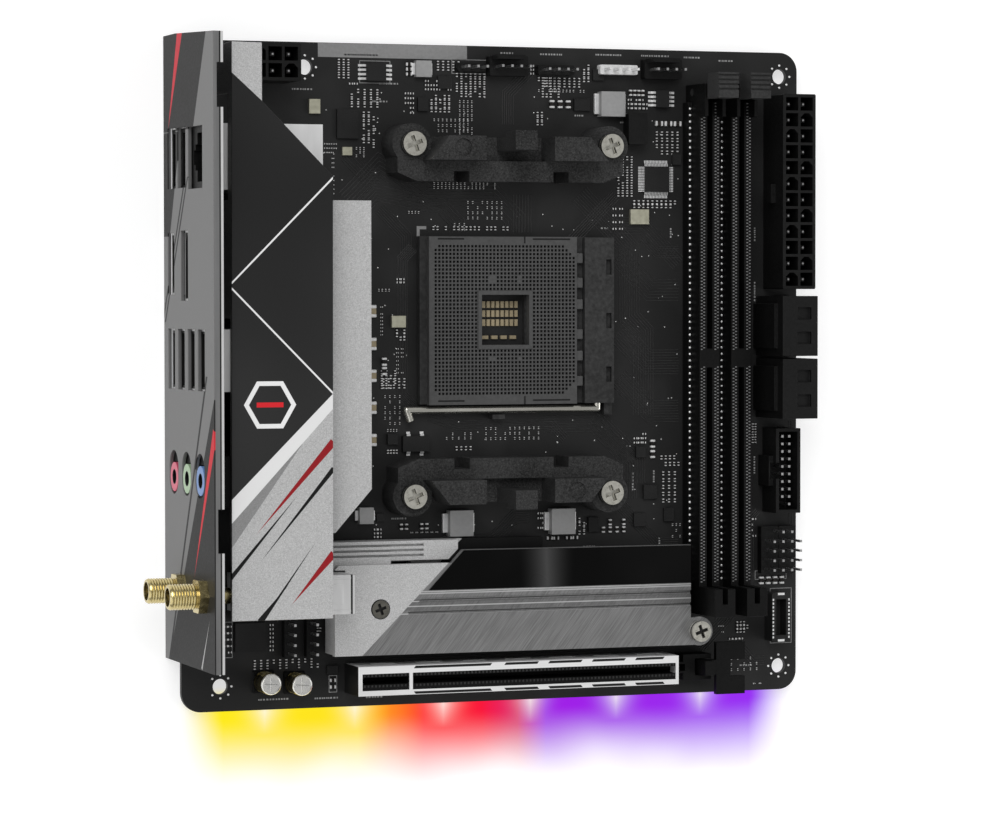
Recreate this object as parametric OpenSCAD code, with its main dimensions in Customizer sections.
// Mini-ITX motherboard, built piece by piece. Millimetres.
// Board coordinates: x from the rear (port) edge, y from the expansion slot edge,
// z from the component face of the circuit board. at() turns them into the part's own frame,
// whose origin is the middle of the footprint, level with the underside of the backplate.

/* [Circuit board] */
// Side of the square board
board_size = 170.18; // [168:0.01:172]
// Thickness of the board
pcb_t = 1.57; // [1.2:0.01:2]
// Radius of the board's corners
board_corner = 5; // [2:0.5:8]
// Diameter of the case mounting holes
mount_hole_d = 3.96; // [3:0.01:4.4]
// Case hole nearest the rear and the slot edge
hole_low_rear = [10.16, 6.35]; // [5:0.01:12]
// Case hole near the top edge, at the rear
hole_top_rear = [33.02, 163.83]; // [30:0.01:165]
// Distance of the front pair of case holes from the rear edge
hole_front_x = 165.1; // [160:0.01:166]

/* [Cooler mount and backplate] */
// Centre of the processor socket
cpu = [85.6, 99.3]; // [80:0.1:105]
// Spacing of the four cooler screws, across and along the brackets' ends
cooler_pitch = [54, 90]; // [50:1:94]
// Size of the steel backplate
backplate_size = [66, 104]; // [62:1:108]
// Thickness of the backplate
backplate_t = 2; // [1.5:0.1:2.4]
// Thickness of the insulating film on the backplate
film_t = 0.3; // [0.1:0.05:0.5]
// Window in the middle of the backplate
backplate_window = [34, 36]; // [20:1:40]
// Diameter of the threaded posts that pass through the board
post_d = 5.4; // [5:0.1:6]
// Height of the bracket's rail and ears above the board
bracket_rail_h = 9.5; // [8:0.1:11]
// Height of the bracket's two towers
bracket_tower_h = 16.5; // [14:0.1:18]
// Height of the bracket's clip lug
bracket_lug_h = 20.7; // [18:0.1:22]
// Diameter and height of the bracket screws' heads
bracket_screw_head = [6.2, 2.5]; // [2:0.1:7]

/* [Processor socket] */
// Sliding cover, seen from above
cover_size = [40.7, 43.4]; // [38:0.1:45]
// Height of the top of the sliding cover
cover_top = 4.6; // [4:0.1:5]
// Height of the socket's fixed floor
socket_floor_h = 2.6; // [2:0.1:3]
// Window in the middle of the socket
socket_window = [12.6, 12.9]; // [10:0.1:15]
// Width of the cam housing beside the cover
cam_w = 8.2; // [6:0.1:10]
// Diameter of the lever's wire
lever_d = 2; // [1.6:0.1:2.2]
// Length of the lever's arm
lever_len = 52.6; // [48:0.1:56]

/* [Rear panel and cover] */
// Outer face of the rear panel
panel_x = -3.2; // [-4:0.1:-2.6]
// Sheet thickness of the rear panel
panel_t = 0.9; // [0.5:0.1:1]
// Where the panel starts and ends along the board
panel_y = [13.9, 171]; // [12:0.1:171.4]
// Lowest and highest edge of the panel
panel_z = [-3.5, 43.3]; // [-3.6:0.1:45]
// Width of the rim folded along the panel's edges
panel_rim = 2.5; // [1.5:0.1:3]
// Top of the cover over the ports
shroud_top = 38; // [36:0.1:40]
// Wall thickness of that cover
shroud_t = 1.2; // [1:0.1:2]
// Top of the heatsink beside the cover
vrm_top = 30; // [26:0.1:32]

/* [Rear ports] */
// Width of a USB port's shell
usb_w = 15.2; // [14.5:0.1:16]
// Height of a USB port's shell
usb_h = 6.4; // [6:0.1:7.6]
// Distance between stacked USB ports
usb_pitch = 9.35; // [9:0.05:10]
// Radius of the audio jacks' bores
jack_r = 1.8; // [1.75:0.01:1.9]
// Outer diameter of the antenna jacks
antenna_d = 6.35; // [6:0.01:6.6]
// Length of the antenna jacks outside the panel
antenna_out = 9.3; // [8:0.1:10]

/* [Slots and heatsinks] */
// Top of the solid state drive's cover
m2_top = 10.6; // [10:0.1:12]
// Thickness of that cover
m2_cover_t = 2; // [1.5:0.1:2.2]
// Steel armour of the expansion slot, along the slot, from and to
slot_x = [43.2, 131.5]; // [42:0.1:133]
// Steel armour of the expansion slot, across it, from and to
slot_y = [3.7, 11.2]; // [3:0.1:12]
// Height of the armoured slot
slot_h = 11.2; // [10.8:0.1:12]
// Height of the memory slots' bodies
dimm_h = 9.5; // [8:0.1:10]
// Height of the memory latches
dimm_latch_h = 22; // [20:0.1:24]
// Left edge of the two memory slots
dimm_x = [138.1, 147.2]; // [136:0.1:150]
// Width of a memory slot
dimm_w = 5.8; // [5.4:0.1:6.5]
// Where a memory slot's body starts and ends
dimm_y = [27.7, 157.3]; // [20:0.1:160]

/* [Connectors] */
// Height of the power connectors
power_h = 12.8; // [12:0.1:14]
// Pitch of the power connectors' cells
power_pitch = 4.2; // [4:0.05:4.4]
// Pitch of the pin headers
pin_pitch = 2.54; // [2:0.01:2.54]
// Width of a header's square pin
pin_w = 0.64; // [0.5:0.01:0.7]

/* [Hidden] */
$fn = 48;
eps = 0.01;
cut = 1;
low_x = panel_x - antenna_out;
frame_x = (low_x + board_size) / 2;
frame_y = panel_y[1] / 2;
board_lift = backplate_t + film_t + pcb_t;
mount_holes = [
    hole_low_rear, hole_top_rear, [hole_front_x, hole_top_rear.y], [hole_front_x, hole_low_rear.y]
];
half_pitch = cooler_pitch / 2;
bracket_holes = [for (sx = [-1, 1], sy = [-1, 1]) cpu + [sx * half_pitch.x, sy * half_pitch.y]];
cover_low = cpu - [20.8, 21.9];
cam_x = cover_low.x + cover_size.x + 2.2;
lever_axis = [cam_x + 4.3, 2.3];
lever_y = cover_low.y - 1.3;
panel_in = panel_x + panel_t;
port_x = panel_in + 0.2;
audio_y = 60.3;
audio_z = [5.5, 17.5, 30.1];
antenna_y = 32.3;
antenna_z = [13.2, 33.8];
thread_len = 6.8;
neck_d = 5.75;
panel_slant = 1.6;
lan_y = [131.5, 147.7];
lan_z = [0.15, 33.5];
lan_depth = 29.5;
usb_y = [82.2, 82.2 + usb_w];
usb_z0 = 0.5;
usb_depth = 17.6;
hdmi_y = [105.9, 121.3];
hdmi_z = [0.15, 6.6];
dp_y = [104.4, 121.8];
dp_z = [12.9, 19.6];
m2_low = m2_top - m2_cover_t;
m2_ear = [137.6, 17.4];
m2_left_screw = [49.6, 25.7];
drive_post = [134.6, 25.4];
latch_pivot_y = dimm_y[1] + 1.7;
latch_pivot_z = 4;
pcie_pivot = [140.5, 3.4];

// ---------- helpers ----------
module at(x, y, z) translate([x - frame_x, y - frame_y, z + board_lift]) children();
module block(lo, hi) at(lo.x, lo.y, lo.z) cube(hi - lo);
module slab(outline, z0, z1) at(0, 0, z0) linear_extrude(z1 - z0) polygon(outline);
module post(p, d, z0, z1) at(p.x, p.y, z0) cylinder(h = z1 - z0, d = d);
module rod_x(x0, x1, y, z, d) at(x0, y, z) rotate([0, 90, 0]) cylinder(h = x1 - x0, d = d);
module rod_y(x, y0, y1, z, d) at(x, y0, z) rotate([-90, 0, 0]) cylinder(h = y1 - y0, d = d);

// Rectangle with round corners, from the origin
module rounded(size, r) {
    translate([r, 0]) square([size.x - 2 * r, size.y]);
    translate([0, r]) square([size.x, size.y - 2 * r]);
    for (x = [r, size.x - r], y = [r, size.y - r]) translate([x, y]) circle(r);
}
module rounded_block(lo, hi, r) at(lo.x, lo.y, lo.z)
    linear_extrude(hi.z - lo.z) rounded([hi.x - lo.x, hi.y - lo.y], r);

// Cross recess of a screw head whose top is at z
module cross_recess(p, z, size, depth) for (turn = [0, 90])
    at(p.x, p.y, z - depth) rotate([0, 0, turn + 20])
        translate([-size / 2, -size / 8, 0]) cube([size, size / 4, depth + cut]);

// ---------- board and backplate ----------
module pcb() color([0.13, 0.13, 0.14]) difference() {
    rounded_block([0, 0, -pcb_t], [board_size, board_size, 0], board_corner);
    for (p = mount_holes) post(p, mount_hole_d, -pcb_t - cut, cut);
    for (p = bracket_holes) post(p, post_d + 0.3, -pcb_t - cut, cut);
    for (p = heatsink_holes) post(p, 2.6, -pcb_t - cut, cut);
}
heatsink_holes = [[35, 66], [35, 122], [44.5, 20], [66.6, 39.9]];

module backplate_outline(z0, z1) difference() {
    rounded_block(
        [cpu.x - backplate_size.x / 2, cpu.y - backplate_size.y / 2, z0],
        [cpu.x + backplate_size.x / 2, cpu.y + backplate_size.y / 2, z1], 6);
    rounded_block(
        [cpu.x - backplate_window.x / 2, cpu.y - backplate_window.y / 2, z0 - cut],
        [cpu.x + backplate_window.x / 2, cpu.y + backplate_window.y / 2, z1 + cut], 3);
    for (sy = [-1, 1]) rounded_block(
        [cpu.x - 12, cpu.y + sy * 35 - 5, z0 - cut], [cpu.x + 12, cpu.y + sy * 35 + 5, z1 + cut], 3);
}
module backplate() color([0.2, 0.2, 0.21]) difference() {
    union() {
        backplate_outline(-board_lift, -pcb_t - film_t);
        for (p = bracket_holes) post(p, post_d, -board_lift, 5.6);
    }
    for (p = bracket_holes) post(p, 3.7, -board_lift - cut, 6);
}
module backplate_film() color([0.1, 0.1, 0.1]) difference() {
    backplate_outline(-pcb_t - film_t, -pcb_t);
    for (p = bracket_holes) post(p, post_d + 0.3, -board_lift, 0);
}

// ---------- cooler brackets ----------
module bracket_shape() {
    rail = [[-30.9, -4.2], [-30.9, -7.3], [-25.6, -9.5], [25.6, -9.5], [30.9, -7.3], [30.9, -4.2]];
    tower = [[9.3, -4.2], [9.3, 2], [19.2, 2], [24.2, -4.2]];
    difference() {
        union() {
            linear_extrude(bracket_rail_h) polygon(rail);
            translate([-30.9, -4.2 - eps, 0]) cube([61.8, 6.2, 6.5]);
            for (side = [0, 1]) mirror([side, 0, 0]) {
                translate([half_pitch.x, 0, 0]) cylinder(h = bracket_rail_h, r = 5.2);
                translate([half_pitch.x - 5.2, -4.2 - eps, 0]) cube([9.1, 4.2, bracket_rail_h]);
                linear_extrude(bracket_tower_h) polygon(tower);
            }
            translate([-2.95, -1.6, 0]) cube([5.9, 3.6, bracket_lug_h]);
            translate([-2.95, 1.9, 13.7]) cube([5.9, 1.4, bracket_lug_h - 13.7]);
        }
        for (side = [-1, 1]) {
            translate([side * 13.6 - 2.1, -10, -cut]) cube([4.2, 3.2, bracket_rail_h + 2 * cut]);
            translate([side * half_pitch.x, 0, -cut]) cylinder(h = 20, d = 4);
            translate([side * half_pitch.x, 0, -cut]) cylinder(h = 7.1, d = post_d + 0.5);
        }
        translate([-15.5, -1, bracket_tower_h - 0.5]) cylinder(h = 1, d = 4.6);
    }
}
module cooler_bracket_upper() color([0.2, 0.2, 0.2])
    at(cpu.x, cpu.y + half_pitch.y, 0) bracket_shape();
module cooler_bracket_lower() color([0.2, 0.2, 0.2])
    at(cpu.x, cpu.y - half_pitch.y, 0) rotate([0, 0, 180]) bracket_shape();
module bracket_screws() color([0.75, 0.73, 0.65]) for (p = bracket_holes) difference() {
    union() {
        post(p, bracket_screw_head[0], bracket_rail_h, bracket_rail_h + bracket_screw_head[1]);
        post(p, 3.5, -1, bracket_rail_h + eps);
    }
    cross_recess(p, bracket_rail_h + bracket_screw_head[1], 4.2, 1.4);
}

// ---------- processor socket ----------
module socket_hole(z0, z1) block(
    [cpu.x - socket_window.x / 2, cpu.y - socket_window.y / 2, z0],
    [cpu.x + socket_window.x / 2, cpu.y + socket_window.y / 2, z1]);
module socket_base() color([0.17, 0.17, 0.17]) difference() {
    high = cover_low + cover_size;
    union() {
        block([cover_low.x - 1.9, cover_low.y + 0.2, 0], [cam_x + 1, high.y + 0.1, socket_floor_h]);
        block([cam_x, cover_low.y + 0.1, 0], [cam_x + cam_w, high.y - 0.1, cover_top]);
        block([cam_x + 6, cover_low.y - 3, 0], [cam_x + cam_w, cover_low.y + 1, 3]);
        block([82.8, lever_y - 2.6, 0], [86.2, lever_y - 1.4, socket_floor_h]);
        block([82.8, lever_y - 2, 0], [86.2, cover_low.y + 1, 0.9]);
    }
    socket_hole(-cut, 5);
    block([cpu.x - 19.6, cpu.y - 19.6, 2], [cpu.x + 19.6, cpu.y + 19.6, 5]);
    rod_y(lever_axis.x, cover_low.y - 1, high.y - 3, lever_axis[1], lever_d + 0.12);
    for (y = [83, 97, 111]) block([cam_x + 6, y, 3.4], [cam_x + cam_w - 0.7, y + 4, 5]);
}
module socket_contacts() color([0.8, 0.65, 0.3]) difference() {
    block([cpu.x - 19.4, cpu.y - 19.4, 2], [cpu.x + 19.4, cpu.y + 19.4, 2.5]);
    block([cpu.x - 7.2, cpu.y - 7.3, 0], [cpu.x + 7.2, cpu.y + 7.3, 5]);
}
module socket_cover() color([0.2, 0.2, 0.2]) difference() {
    high = cover_low + cover_size;
    union() {
        block([cover_low.x, cover_low.y, 2.75], [high.x, high.y, cover_top]);
        for (y = [82, 88.6, 94.2, 102, 107.6, 114]) block([high.x - 1, y, 2.75], [high.x + 1.8, y + 2.6, 4.3]);
    }
    socket_hole(2, 6);
}
module socket_lever() color([0.75, 0.74, 0.7]) {
    x = lever_axis.x;
    z = lever_axis[1];
    rod_y(x, lever_y, cover_low.y + cover_size.y - 3.6, z, lever_d);
    rod_x(x - lever_len, x, lever_y, z, lever_d);
    at(x, lever_y, z) sphere(d = lever_d);
    at(x - lever_len, lever_y, z) sphere(d = lever_d);
    at(x - lever_len, lever_y, z) rotate([90, 0, 20]) cylinder(h = 3, d = lever_d);
}
module socket_capacitors() color([0.8, 0.78, 0.72]) {
    for (row = [0:2], i = [0:7]) at(cpu.x - 5 + i * 1.28, cpu.y - 1.6 + row * 2.35, 0) cube([0.85, 1.7, 0.8]);
    for (i = [0:3]) at(cpu.x - 5 + i * 2.56, cpu.y - 5, 0) cube([1.7, 0.9, 0.8]);
}

// ---------- rear panel, cover and voltage regulator ----------
module panel_window(y, z) block([panel_x - cut, y[0], z[0]], [panel_in + cut, y[1], z[1]]);
module rear_panel() color([0.45, 0.45, 0.46]) difference() {
    block([panel_x, panel_y[0], panel_z[0]], [panel_in, panel_y[1], panel_z[1]]);
    panel_window([131.9, 147.2], [19.9, 33.2]);
    panel_window([132.4, 147.4], [9.9, 17.6]);
    panel_window([132.4, 147.6], [0.4, 8.2]);
    panel_window(hdmi_y, [0.3, 6.5]);
    panel_window(dp_y, dp_z);
    for (i = [0:3]) panel_window([82.3, 97.4], [usb_z0 + i * usb_pitch, usb_z0 + usb_h + i * usb_pitch]);
    for (z = audio_z) {
        rod_x(panel_x - cut, panel_in + cut, audio_y, z, 8.6);
        rod_x(panel_x - cut, panel_in + cut, audio_y + 2.4, z, 8.6);
    }
    for (z = antenna_z) rod_x(panel_x - cut, panel_in + cut, antenna_y, z, antenna_d + 0.5);
    at(panel_x - cut, panel_y[1], 8) rotate([90, 0, 90]) linear_extrude(panel_t + 2 * cut)
        polygon([[0, 0], [cut, 0], [cut, 60], [-panel_slant, 60], [-panel_slant, panel_z[1] - 8]]);
}
module rear_panel_rim() color([0.6, 0.6, 0.61]) difference() {
    union() {
        block([panel_in, panel_y[0], panel_z[1] - 0.9],
            [panel_x + panel_rim, panel_y[1] - panel_slant, panel_z[1]]);
        for (y = [panel_y[0], panel_y[1] - panel_slant - 0.8])
            block([panel_in, y, 1], [panel_x + panel_rim, y + 0.8, panel_z[1]]);
    }
    for (y = [[43.3, 54], [151.1, 161.9]])
        block([panel_in - cut, y[0], panel_z[1] - 2], [panel_x + panel_rim + cut, y[1], panel_z[1] + cut]);
}

shroud_outline = [[3, 167.3], [10.6, 167.2], [10.6, 153], [28.6, 135], [28.4, 26.3], [2.6, 26.3]];
shroud_inner = [[4.2, 166.1], [9.4, 166], [9.4, 152.5], [27.4, 134.5], [27.2, 27.5], [3.8, 27.5]];
module port_shroud() color([0.16, 0.16, 0.17]) difference() {
    slab(shroud_outline, 22, shroud_top);
    slab(shroud_inner, 20, shroud_top - shroud_t);
    block([2, 129, 20], [35, 155, 34.2]);
    block([2, 28.5, 20], [10, 100, 36.4]);
}
module vrm_heatsink() color([0.68, 0.68, 0.69]) difference() {
    slab([[29.2, 129.2], [41, 129.2], [41, 57.5], [31.5, 46.8], [29.2, 46.8]], 2, vrm_top);
    for (z = [6:3.4:24]) block([35.5, 40, z], [42, 135, z + 1.7]);
    for (p = [heatsink_holes[0], heatsink_holes[1]]) post(p, 2.4, 0, 5);
}
module thermal_pads() color([0.55, 0.55, 0.6]) {
    block([36.2, 60, 1], [40.6, 128, 2]);
    block([62, 17, 1.4], [80, 35, 1.9]);
    block([64, 15.5, m2_low - 0.5], [130, 35.5, m2_low]);
}
module heatsink_screws() color([0.7, 0.7, 0.68]) for (p = heatsink_holes) difference() {
    union() {
        post(p, 4.6, -pcb_t - 1.3, -pcb_t);
        post(p, 2, -pcb_t - 0.5, 4);
    }
    at(p.x, p.y, -pcb_t - 1.3 - cut) for (turn = [0, 90]) rotate([0, 0, turn])
        translate([-1.5, -0.35, 0]) cube([3, 0.7, cut + 0.7]);
}

// ---------- rear ports ----------
module usb_cavity(y, z, depth) block([port_x - cut, y[0] + 1.1, z + 0.6], [port_x + depth, y[1] - 1.1, z + 5.9]);
module lan_usb_shell() color([0.75, 0.75, 0.76]) difference() {
    block([port_x, lan_y[0], lan_z[0]], [port_x + lan_depth, lan_y[1], lan_z[1]]);
    block([port_x - cut, lan_y[0] + 0.4, lan_z[0] + 0.4],
        [port_x + lan_depth - 0.4, lan_y[1] - 0.4, lan_z[1] - 0.4]);
}
module hdmi_outline(grow) polygon([
    [-7.1 - grow, 6 + grow], [7.1 + grow, 6 + grow], [7.1 + grow, 3 - grow / 2],
    [5.2 + grow, 1 - grow], [-5.2 - grow, 1 - grow], [-7.1 - grow, 3 - grow / 2]]);
module hdmi_shell() color([0.75, 0.75, 0.76]) difference() {
    block([port_x, hdmi_y[0], hdmi_z[0]], [port_x + 11, hdmi_y[1], hdmi_z[1]]);
    at(port_x - cut, (hdmi_y[0] + hdmi_y[1]) / 2, 0.15) rotate([90, 0, 90])
        linear_extrude(9) hdmi_outline(0);
}
module display_port_shell() color([0.75, 0.75, 0.76]) {
    middle = (dp_y[0] + dp_y[1]) / 2;
    difference() {
        block([port_x, dp_y[0], dp_z[0]], [port_x + 11, dp_y[1], dp_z[1]]);
        at(port_x - cut, middle, dp_z[0]) rotate([90, 0, 90]) linear_extrude(9)
            polygon([[-8, 1], [-8, 5.9], [8, 5.9], [8, 2.8], [6.2, 1]]);
    }
    for (y = [dp_y[0], dp_y[1] - 0.4]) block([port_x + 6, y, 0], [port_x + 11, y + 0.4, dp_z[0]]);
}
module usb_shell() color([0.75, 0.75, 0.76]) difference() {
    block([port_x, usb_y[0], 0.15], [port_x + usb_depth, usb_y[1], 35.4]);
    for (i = [0:3]) usb_cavity(usb_y, usb_z0 + i * usb_pitch, usb_depth - 1);
}
module port_inserts() color([0.05, 0.05, 0.05]) {
    difference() {
        block([port_x + 0.1, lan_y[0] + 0.45, lan_z[0] + 0.45],
            [port_x + lan_depth - 0.45, lan_y[1] - 0.45, lan_z[1] - 0.45]);
        block([port_x - cut, 133.6, 24.4], [port_x + 14, 145.6, 32.4]);
        block([port_x - cut, 136.4, 22.6], [port_x + 14, 142.8, 25]);
        block([port_x - cut, 137.8, 21.2], [port_x + 14, 141.4, 25]);
        for (z = [1, 10.4]) usb_cavity([132, 147.3], z, 12);
    }
    for (z = [1, 10.4]) block([port_x + 1.4, 134.1, z + 3.3], [port_x + 13, 145.2, z + 5.3]);
    for (i = [0:3]) block([port_x + 1.4, usb_y[0] + 2.2, usb_z0 + i * usb_pitch + 3.2],
        [port_x + usb_depth - 1, usb_y[1] - 2.2, usb_z0 + i * usb_pitch + 5.2]);
    block([port_x + 1, 108, 3.2], [port_x + 8, 119.2, 4.8]);
    block([port_x + 1, 107, 15.6], [port_x + 8, 119, 17]);
}
module audio_housing() color([0.08, 0.08, 0.08]) difference() {
    block([port_x, audio_y - 6.2, 0], [port_x + 13, audio_y + 6.2, 36]);
    for (z = audio_z) block([port_x - cut, audio_y - 3.8, z - 3.8], [port_x + 10.2, audio_y + 3.8, z + 3.8]);
}
module audio_jack(z) difference() {
    rod_x(panel_x + 0.1, port_x + 10, audio_y, z, 7.3);
    rod_x(panel_x - cut, port_x + 11, audio_y, z, 2 * jack_r);
}
module microphone_jack() color([0.9, 0.5, 0.6]) audio_jack(audio_z[0]);
module line_out_jack() color([0.6, 0.85, 0.6]) audio_jack(audio_z[1]);
module line_in_jack() color([0.5, 0.6, 0.85]) audio_jack(audio_z[2]);
module antenna_jacks() color([0.8, 0.62, 0.3]) for (z = antenna_z) difference() {
    union() {
        rod_x(low_x, low_x + thread_len, antenna_y, z, antenna_d);
        rod_x(low_x + thread_len - eps, panel_in, antenna_y, z, neck_d);
        at(panel_in, antenna_y - 4, z - 4) cube([1.5, 8, 8]);
        rod_x(panel_in, 4, antenna_y, z, 4);
    }
    rod_x(low_x - cut, low_x + 5, antenna_y, z, 4.6);
}
module antenna_nuts() color([0.8, 0.62, 0.3]) for (z = antenna_z) difference() {
    at(panel_x - 2.2, antenna_y, z) rotate([0, 90, 0]) cylinder(h = 2.2, d = 9.2, $fn = 6);
    rod_x(panel_x - 3, panel_x + cut, antenna_y, z, neck_d + 0.1);
}
module antenna_bracket() color([0.15, 0.15, 0.15]) difference() {
    union() {
        block([panel_in + 1.55, antenna_y - 6, 0], [panel_in + 2.55, antenna_y + 6, 40]);
        block([panel_in + 1.55, antenna_y - 6, 0], [8, antenna_y + 6, 1]);
    }
    for (z = antenna_z) rod_x(0.2 + panel_in, 5, antenna_y, z, 4.2);
}
module wifi_bracket() color([0.75, 0.75, 0.76]) difference() {
    block([12, 25.6, 0], [39.7, 35.5, 20]);
    block([12.5, 26.1, -cut], [39.2, 35, 19.5]);
    block([20, 25, 8], [32, 36, 12]);
}
module wifi_card() color([0.1, 0.25, 0.18]) {
    block([13.5, 30.2, 0.3], [38.5, 31, 18.8]);
    block([17, 31, 4], [30, 32.4, 16]);
}
module battery() color([0.12, 0.12, 0.12]) difference() {
    rod_x(11.5, 16, 112.6, 11.2, 21);
    rod_x(10, 12.1, 112.6, 11.2, 14);
}

// ---------- chipset and solid state drive ----------
module chipset() color([0.12, 0.2, 0.14]) {
    block([60, 15, 0], [82, 37, 0.8]);
    block([65, 20, 0.8], [77, 32, 1.4]);
}
module chipset_heatsink() color([0.5, 0.5, 0.51]) difference() {
    union() {
        block([37.5, 14.2, 1.9], [96, 42.9, 4.4]);
        block([37.5, 14.2, 1.9], [53, 42.9, m2_low]);
        block([37.5, 37.9, 1.9], [71.3, 42.9, m2_low - 0.4]);
    }
    block([53.2, 13, 0], [59.8, 37.4, 12]);
    wifi_notch();
    for (y = [38.9, 40.2, 41.5]) block([36, y, 7.2], [62, y + 0.6, 12]);
    post(heatsink_holes[2], 2.4, 0, 5);
    post(heatsink_holes[3], 2.4, 0, 5);
    post(m2_left_screw, 2.2, 4, 12);
}
module m2_sockets() color([0.07, 0.07, 0.07]) {
    difference() {
        block([53.6, 14.6, 0], [59.6, 36.6, 7.6]);
        block([56.4, 15.4, 5.4], [60, 35.8, 6.4]);
    }
    difference() {
        block([118, 16, -board_lift + 0.2], [124, 38, -pcb_t]);
        block([121, 17, -board_lift + 0.7], [125, 37, -pcb_t - 0.7]);
    }
}
module m2_cover() color([0.6, 0.6, 0.61]) difference() {
    union() {
        slab([[37.4, 14], [135.2, 13.8], [135.2, 40.2], [72, 40.4], [68.9, 37.1], [38.4, 37.1], [37.4, 36.1]],
            m2_low, m2_top);
        post(m2_ear, 7.6, m2_low, m2_top);
        block([134, 13.8, m2_low], [137.6, 21, m2_top]);
    }
    slab([[72, 40.3], [62.5, 30.2], [136, 30.2], [136, 40.1]], m2_top - 0.6, m2_top + cut);
    slab([[60.7, 28.3], [59.7, 27.2], [136, 27.2], [136, 28.3]], m2_top - 0.5, m2_top + cut);
    slab([[57.7, 25.1], [56.9, 24.2], [136, 24.2], [136, 25.1]], m2_top - 0.5, m2_top + cut);
    post(m2_left_screw, 2.4, m2_low - cut, 12);
    post(m2_left_screw, 5.2, m2_top - 1.2, 12);
    post(m2_ear, 3.2, m2_low - cut, 12);
    wifi_notch();
}
module wifi_notch() block([36, 25.2, 1], [40.2, 35.9, 12]);
module m2_gloss_plate() color([0.02, 0.02, 0.02])
    slab([[72, 40.2], [62.7, 30.3], [135.1, 30.3], [135.1, 40]], m2_top - 0.6, m2_top + 0.3);
module m2_screws() color([0.5, 0.5, 0.5]) {
    difference() {
        union() {
            post(m2_left_screw, 4.6, m2_top - 1.2, m2_top + 0.1);
            post(m2_left_screw, 2, 5, m2_top - 1);
        }
        cross_recess(m2_left_screw, m2_top + 0.1, 3, 0.8);
    }
    difference() {
        union() {
            post(m2_ear, 5.4, m2_top, m2_top + 1.8);
            post(m2_ear, 2.6, 4, m2_top + eps);
        }
        cross_recess(m2_ear, m2_top + 1.8, 3.6, 1.1);
    }
}
module m2_standoffs() color([0.75, 0.75, 0.72]) {
    difference() {
        post(m2_ear, 5, 0, m2_low);
        post(m2_ear, 2.8, 3, m2_low + cut);
    }
    difference() {
        post(drive_post, 4.8, 0, 5.6);
        post(drive_post, 2.2, 2, 7);
    }
}

// ---------- expansion slot ----------
module pcie_slot() color([0.06, 0.06, 0.06]) difference() {
    middle = (slot_y[0] + slot_y[1]) / 2;
    union() {
        block([slot_x[0] + 0.4, slot_y[0] + 0.4, 0], [slot_x[1] - 0.4, slot_y[1] - 0.4, slot_h - 0.4]);
        block([slot_x[1] - 1, middle - 1.5, 0], [138.4, middle + 1.5, 6]);
        for (y = [middle - 3.4, middle + 2.2]) block([135, y, 0], [143, y + 1.2, 6]);
        block([135, middle - 3.4, 0], [138.4, middle + 3.4, 6]);
    }
    block([44.6, middle - 0.9, 2.6], [57, middle + 0.9, 20]);
    block([58.1, middle - 0.9, 2.6], [slot_x[1] + 4, middle + 0.9, 20]);
    rod_y(pcie_pivot[0], 0, 15, pcie_pivot[1], 2.12);
}
module pcie_armour() color([0.78, 0.78, 0.79]) difference() {
    block([slot_x[0], slot_y[0], 0.3], [slot_x[1], slot_y[1], slot_h]);
    block([slot_x[0] + 0.35, slot_y[0] + 0.35, -cut], [slot_x[1] - 0.35, slot_y[1] - 0.35, slot_h - 0.35]);
    block([44.5, 5, 5], [57.1, 9.3, 20]);
    block([58, 5, 5], [130.7, 9.3, 20]);
    block([slot_x[1] - 2, 5.7, 0], [slot_x[1] + 1, 9.2, 6.2]);
    for (i = [0:6]) rounded_slot(48.5 + i * 12.3);
}
module rounded_slot(x) at(x, slot_y[0] - cut, 4.6) rotate([-90, 0, 0]) linear_extrude(slot_y[1] - slot_y[0] + 2 * cut)
    translate([0, -1.4]) rounded([7.5, 2.8], 1.3);
module pcie_latch() color([0.08, 0.08, 0.08]) {
    middle = (slot_y[0] + slot_y[1]) / 2;
    rod_y(pcie_pivot[0], middle - 3.2, middle + 3.2, pcie_pivot[1], 2);
    block([139.2, middle - 1.9, 1.9], [142, middle + 1.9, 11]);
    block([141.9, middle - 1.9, 5], [144.4, middle + 1.9, 8]);
    difference() {
        block([143.6, 0.2, 6.4], [151.8, 14, 8]);
        block([147.6, 4.9, 6], [153, 9.3, 9]);
    }
}

// ---------- memory slots ----------
module dimm_slot(x) color([0.1, 0.1, 0.1]) difference() {
    y1 = dimm_y[1];
    middle = x + dimm_w / 2;
    union() {
        block([x, dimm_y[0], 0], [x + dimm_w, y1 - 0.9, dimm_h]);
        block([x, 21.6, 0], [x + dimm_w, 29, 20]);
        block([x - 0.9, dimm_y[0], 0], [x + dimm_w, y1 - 0.9, 4]);
        for (px = [x, x + dimm_w - 0.9]) block([px, y1 - 5, 0], [px + 0.9, y1 + 3.7, 13.2]);
        block([x, y1 - 5, 0], [x + dimm_w, y1 + 3.7, 1.2]);
    }
    block([middle - 0.75, 25, 2.2], [middle + 0.75, 86.6, 30]);
    block([middle - 0.75, 91.6, 2.2], [middle + 0.75, y1 + 0.6, 30]);
    rod_x(x - 2, x + dimm_w + 1, latch_pivot_y, latch_pivot_z, 2.12);
}
module dimm_slot_a() dimm_slot(dimm_x[0]);
module dimm_slot_b() dimm_slot(dimm_x[1]);
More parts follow.
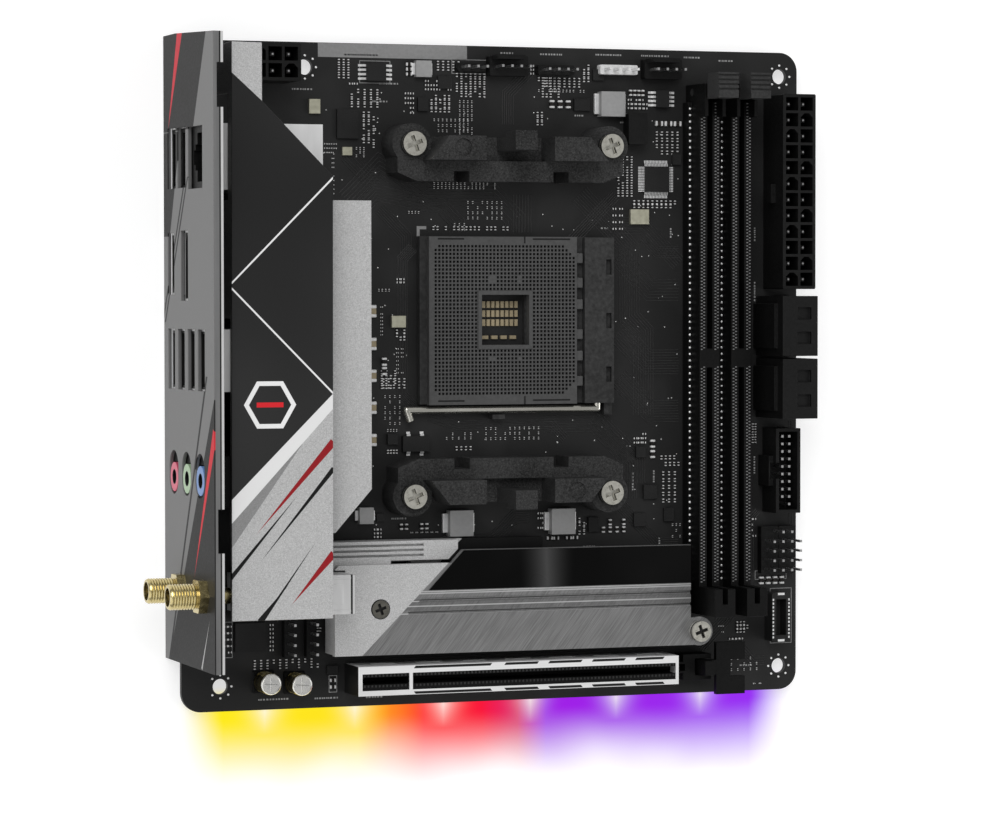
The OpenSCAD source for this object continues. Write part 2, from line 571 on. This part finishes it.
module dimm_latch(x) color([0.12, 0.12, 0.12]) {
    middle = x + dimm_w / 2;
    y0 = dimm_y[1] - 0.5;
    rod_x(x + 0.1, x + dimm_w - 0.1, latch_pivot_y, latch_pivot_z, 2);
    difference() {
        union() {
            block([x + 1.1, y0 + 0.4, 2.4], [x + dimm_w - 1.1, y0 + 4.2, 15]);
            block([x + 0.1, y0, 14.4], [x + dimm_w - 0.1, y0 + 6.6, dimm_latch_h]);
        }
        block([middle - 0.75, y0 - cut, 6], [middle + 0.75, y0 + 2, 17]);
        for (i = [0:3]) block([x - cut, y0 + 2 + i * 1.2, dimm_latch_h - 0.5],
            [x + dimm_w + cut, y0 + 2.5 + i * 1.2, dimm_latch_h + cut]);
    }
}
module dimm_latch_a() dimm_latch(dimm_x[0]);
module dimm_latch_b() dimm_latch(dimm_x[1]);

// ---------- power connectors ----------
atx24_low = [160.5, 107.2];
atx12v_low = [10.4, 159.5];
power_rim = 0.5;
function cell_at(low, i, j) = low + [power_rim + (i + 0.5) * power_pitch, power_rim + (j + 0.5) * power_pitch];
module power_cell(p, keyed) at(p.x, p.y, 2.6) linear_extrude(power_h) translate([-1.75, -1.75])
    polygon(keyed ? [[0, 0], [3.5, 0], [3.5, 2.4], [2.4, 3.5], [1.1, 3.5], [0, 2.4]]
        : [[0, 0], [3.5, 0], [3.5, 3.5], [0, 3.5]]);
module power_connector(low, across, along) difference() {
    size = [across * power_pitch + 2 * power_rim, along * power_pitch + 2 * power_rim];
    rounded_block([low.x, low.y, 0], [low.x + size.x, low.y + size.y, power_h], 0.4);
    for (i = [0:across - 1], j = [0:along - 1]) power_cell(cell_at(low, i, j), (i + 2 * j) % 3 == 0);
}
module atx24_connector() color([0.07, 0.07, 0.07]) {
    power_connector(atx24_low, 2, 12);
    block([atx24_low.x - 1.3, 130, 5], [atx24_low.x + eps, 135, 8]);
}
module atx12v_connector() color([0.07, 0.07, 0.07]) power_connector(atx12v_low, 4, 2);
module power_pins() color([0.75, 0.75, 0.72]) {
    for (i = [0, 1], j = [0:11]) power_pin(cell_at(atx24_low, i, j));
    for (i = [0:3], j = [0, 1]) power_pin(cell_at(atx12v_low, i, j));
}
module power_pin(p) at(p.x - 0.55, p.y - 0.55, 2.6) cube([1.1, 1.1, 7.5]);

// ---------- board-edge connectors and headers ----------
module sata_stack(y0) difference() {
    union() {
        block([158.4, y0, 0], [168.5, y0 + 15.8, 17.5]);
        block([157.6, y0 + 2, 0], [158.5, y0 + 13.8, 14]);
    }
    for (z = [3.6, 11.2]) {
        block([161.5, y0 + 2, z], [170, y0 + 13.4, z + 4]);
    }
    for (y = [3.2, 9.6]) block([162.6, y0 + y, 16.6], [166.6, y0 + y + 3.2, 18]);
}
module sata_ports() color([0.08, 0.08, 0.08]) {
    for (y = [73.1, 89.6]) {
        sata_stack(y);
        for (z = [3.6, 11.2]) {
            block([161.5, y + 3.2, z + 1.4], [167.9, y + 12.4, z + 2.6]);
            block([161.5, y + 3.2, z + 0.4], [167.9, y + 4.4, z + 1.5]);
        }
    }
}
module usb3_header() color([0.07, 0.07, 0.07]) difference() {
    union() {
        block([160.3, 47.8, 0], [167.4, 70.3, 9]);
        block([159.1, 55, 0], [160.4, 63, 7]);
    }
    block([161.2, 48.7, 1.8], [166.5, 69.4, 10]);
    block([159.5, 57, 3], [162, 61.2, 10]);
}
front_low = [160.2, 32.6];
module header_base(lo, hi) rounded_block(lo, hi, 0.4);
module header_bases() color([0.08, 0.08, 0.08]) {
    for (i = [0, 1]) header_base(
        [front_low.x - 1.25 + i * 2 * pin_pitch, front_low.y - 1.25, 0],
        [front_low.x + 1.2 + pin_pitch + i * 2 * pin_pitch, front_low.y + 4 * pin_pitch + 1.25, 2.5]);
    for (x = [82, 125.2]) {
        header_base([x, 162.4, 0], [x + 10.6, 167.6, 3]);
        block([x + 0.6, 166.5, 2.9], [x + 8, 167.6, 8]);
    }
    header_base([95.6, 163, 0], [105.6, 165.5, 2.5]);
    header_base([73.4, 163.4, 0], [80.9, 165.7, 2.5]);
    for (x = [27.7, 33.6]) header_base([x - 1.25, 13.2, 0], [x + 1.25, 23.1, 2.5]);
    header_base([120.3, 145.1, 0], [125.6, 153.4, 4]);
}
module pin(x, y, top) at(x - pin_w / 2, y - pin_w / 2, 2.5) cube([pin_w, pin_w, top - 2.5]);
module header_pins() color([0.78, 0.75, 0.65]) {
    for (i = [0:3], j = [0:4]) if (i * 5 + j != 4 && i * 5 + j != 19)
        pin(front_low.x + i * pin_pitch, front_low.y + j * pin_pitch, 8.5);
    for (x = [82, 125.2], i = [0:3])
        at(x + 1.4 + i * pin_pitch, 164.4, 3) cube([pin_w, pin_w, 5.5]);
    for (i = [0:3]) pin(96.8 + i * pin_pitch, 164.2, 8);
    for (i = [0:2]) pin(74.6 + i * pin_pitch, 164.5, 8);
    for (x = [27.7, 33.6], j = [0:3]) pin(x, 14.4 + j * pin_pitch, 8);
    for (i = [0, 1], j = [0:9]) if (i + j > 0)
        at(162.5 + i * 2, 49.8 + j * 2, 1.8) cube([pin_w, pin_w, 5.7]);
}
module light_header() color([0.85, 0.85, 0.85]) {
    header_base([112.9, 163.4, 0], [123.4, 165.9, 2.5]);
    for (i = [0:3]) at(114.2 + i * pin_pitch - 0.32, 164.3, 2.4) cube([pin_w, pin_w, 4.6]);
}
module type_c_header() color([0.12, 0.12, 0.12]) difference() {
    rounded_block([161, 13.2, 0], [166.3, 26.4, 5], 0.8);
    block([162.2, 15, 1], [165.1, 24.6, 6]);
}

// ---------- small parts ----------
module electrolytic_capacitors() color([0.75, 0.65, 0.45]) for (p = [[21.4, 7.3], [29.6, 6.8]]) {
    post(p, 5.5, 0.6, 8);
    at(p.x - 2.9, p.y - 2.9, 0) cube([5.8, 5.8, 0.6]);
}
// Each choke or chip: low corner, high corner, height
function pieces_choke() = [
    [[113, 152.4], [119.7, 158.9], 3], [[62.3, 161.8], [66.5, 166], 2], [[46.8, 47], [50.6, 51.2], 2],
    [[71, 43.3], [77.4, 50], 3], [[99.1, 43.2], [105.7, 49.9], 3]];
function pieces_chip() = concat([
    [[49.2, 160.6], [54.3, 165.1], 1.6], [[41.3, 145.8], [47, 153.2], 1], [[63.1, 153.1], [65.8, 156.6], 1],
    [[126.1, 132.8], [132.8, 139.5], 1.5], [[129.3, 155.1], [132.7, 159.5], 1.7],
    [[58.7, 65.4], [66, 69.4], 1.6], [[13.8, 15.1], [21.9, 22.4], 1.4]],
    [for (i = [0:7]) [[36.3, 63 + i * 8], [40.5, 68 + i * 8], 1]]);
function pieces_crystal() = [
    [[122, 124.3], [127.2, 128.2], 1.1], [[55.9, 97.4], [59.7, 100.4], 1], [[33.9, 152], [36.8, 155.7], 1],
    [[42.8, 141.5], [45.4, 143.6], 0.8]];
module small_parts(list) for (p = list)
    block([p[0].x, p[0].y, 0], [p[1].x, p[1].y, p[2]]);
module inductors() color([0.55, 0.55, 0.54]) {
    small_parts(pieces_choke());
    for (i = [0:7]) rounded_block([19.5, 62 + i * 8.1, 0], [26.5, 69 + i * 8.1, 6.5], 0.8);
}
module chips() color([0.1, 0.1, 0.1]) small_parts(pieces_chip());
module crystals() color([0.75, 0.74, 0.7]) small_parts(pieces_crystal());
module edge_leds() color([0.9, 0.9, 0.85]) for (i = [0:9])
    block([23 + i * 14, 1.2, -pcb_t - 1.2], [26.5 + i * 14, 4, -pcb_t]);

pcb();
backplate();
backplate_film();
socket_base();
socket_contacts();
socket_cover();
socket_lever();
socket_capacitors();
cooler_bracket_upper();
cooler_bracket_lower();
bracket_screws();
rear_panel();
rear_panel_rim();
port_shroud();
vrm_heatsink();
thermal_pads();
heatsink_screws();
lan_usb_shell();
hdmi_shell();
display_port_shell();
usb_shell();
port_inserts();
audio_housing();
microphone_jack();
line_out_jack();
line_in_jack();
antenna_jacks();
antenna_nuts();
antenna_bracket();
wifi_card();
wifi_bracket();
chipset();
chipset_heatsink();
m2_sockets();
m2_cover();
m2_gloss_plate();
m2_screws();
m2_standoffs();
pcie_slot();
pcie_armour();
pcie_latch();
dimm_slot_a();
dimm_slot_b();
dimm_latch_a();
dimm_latch_b();
atx24_connector();
atx12v_connector();
power_pins();
sata_ports();
usb3_header();
header_bases();
header_pins();
light_header();
type_c_header();
electrolytic_capacitors();
inductors();
chips();
crystals();
battery();
edge_leds();
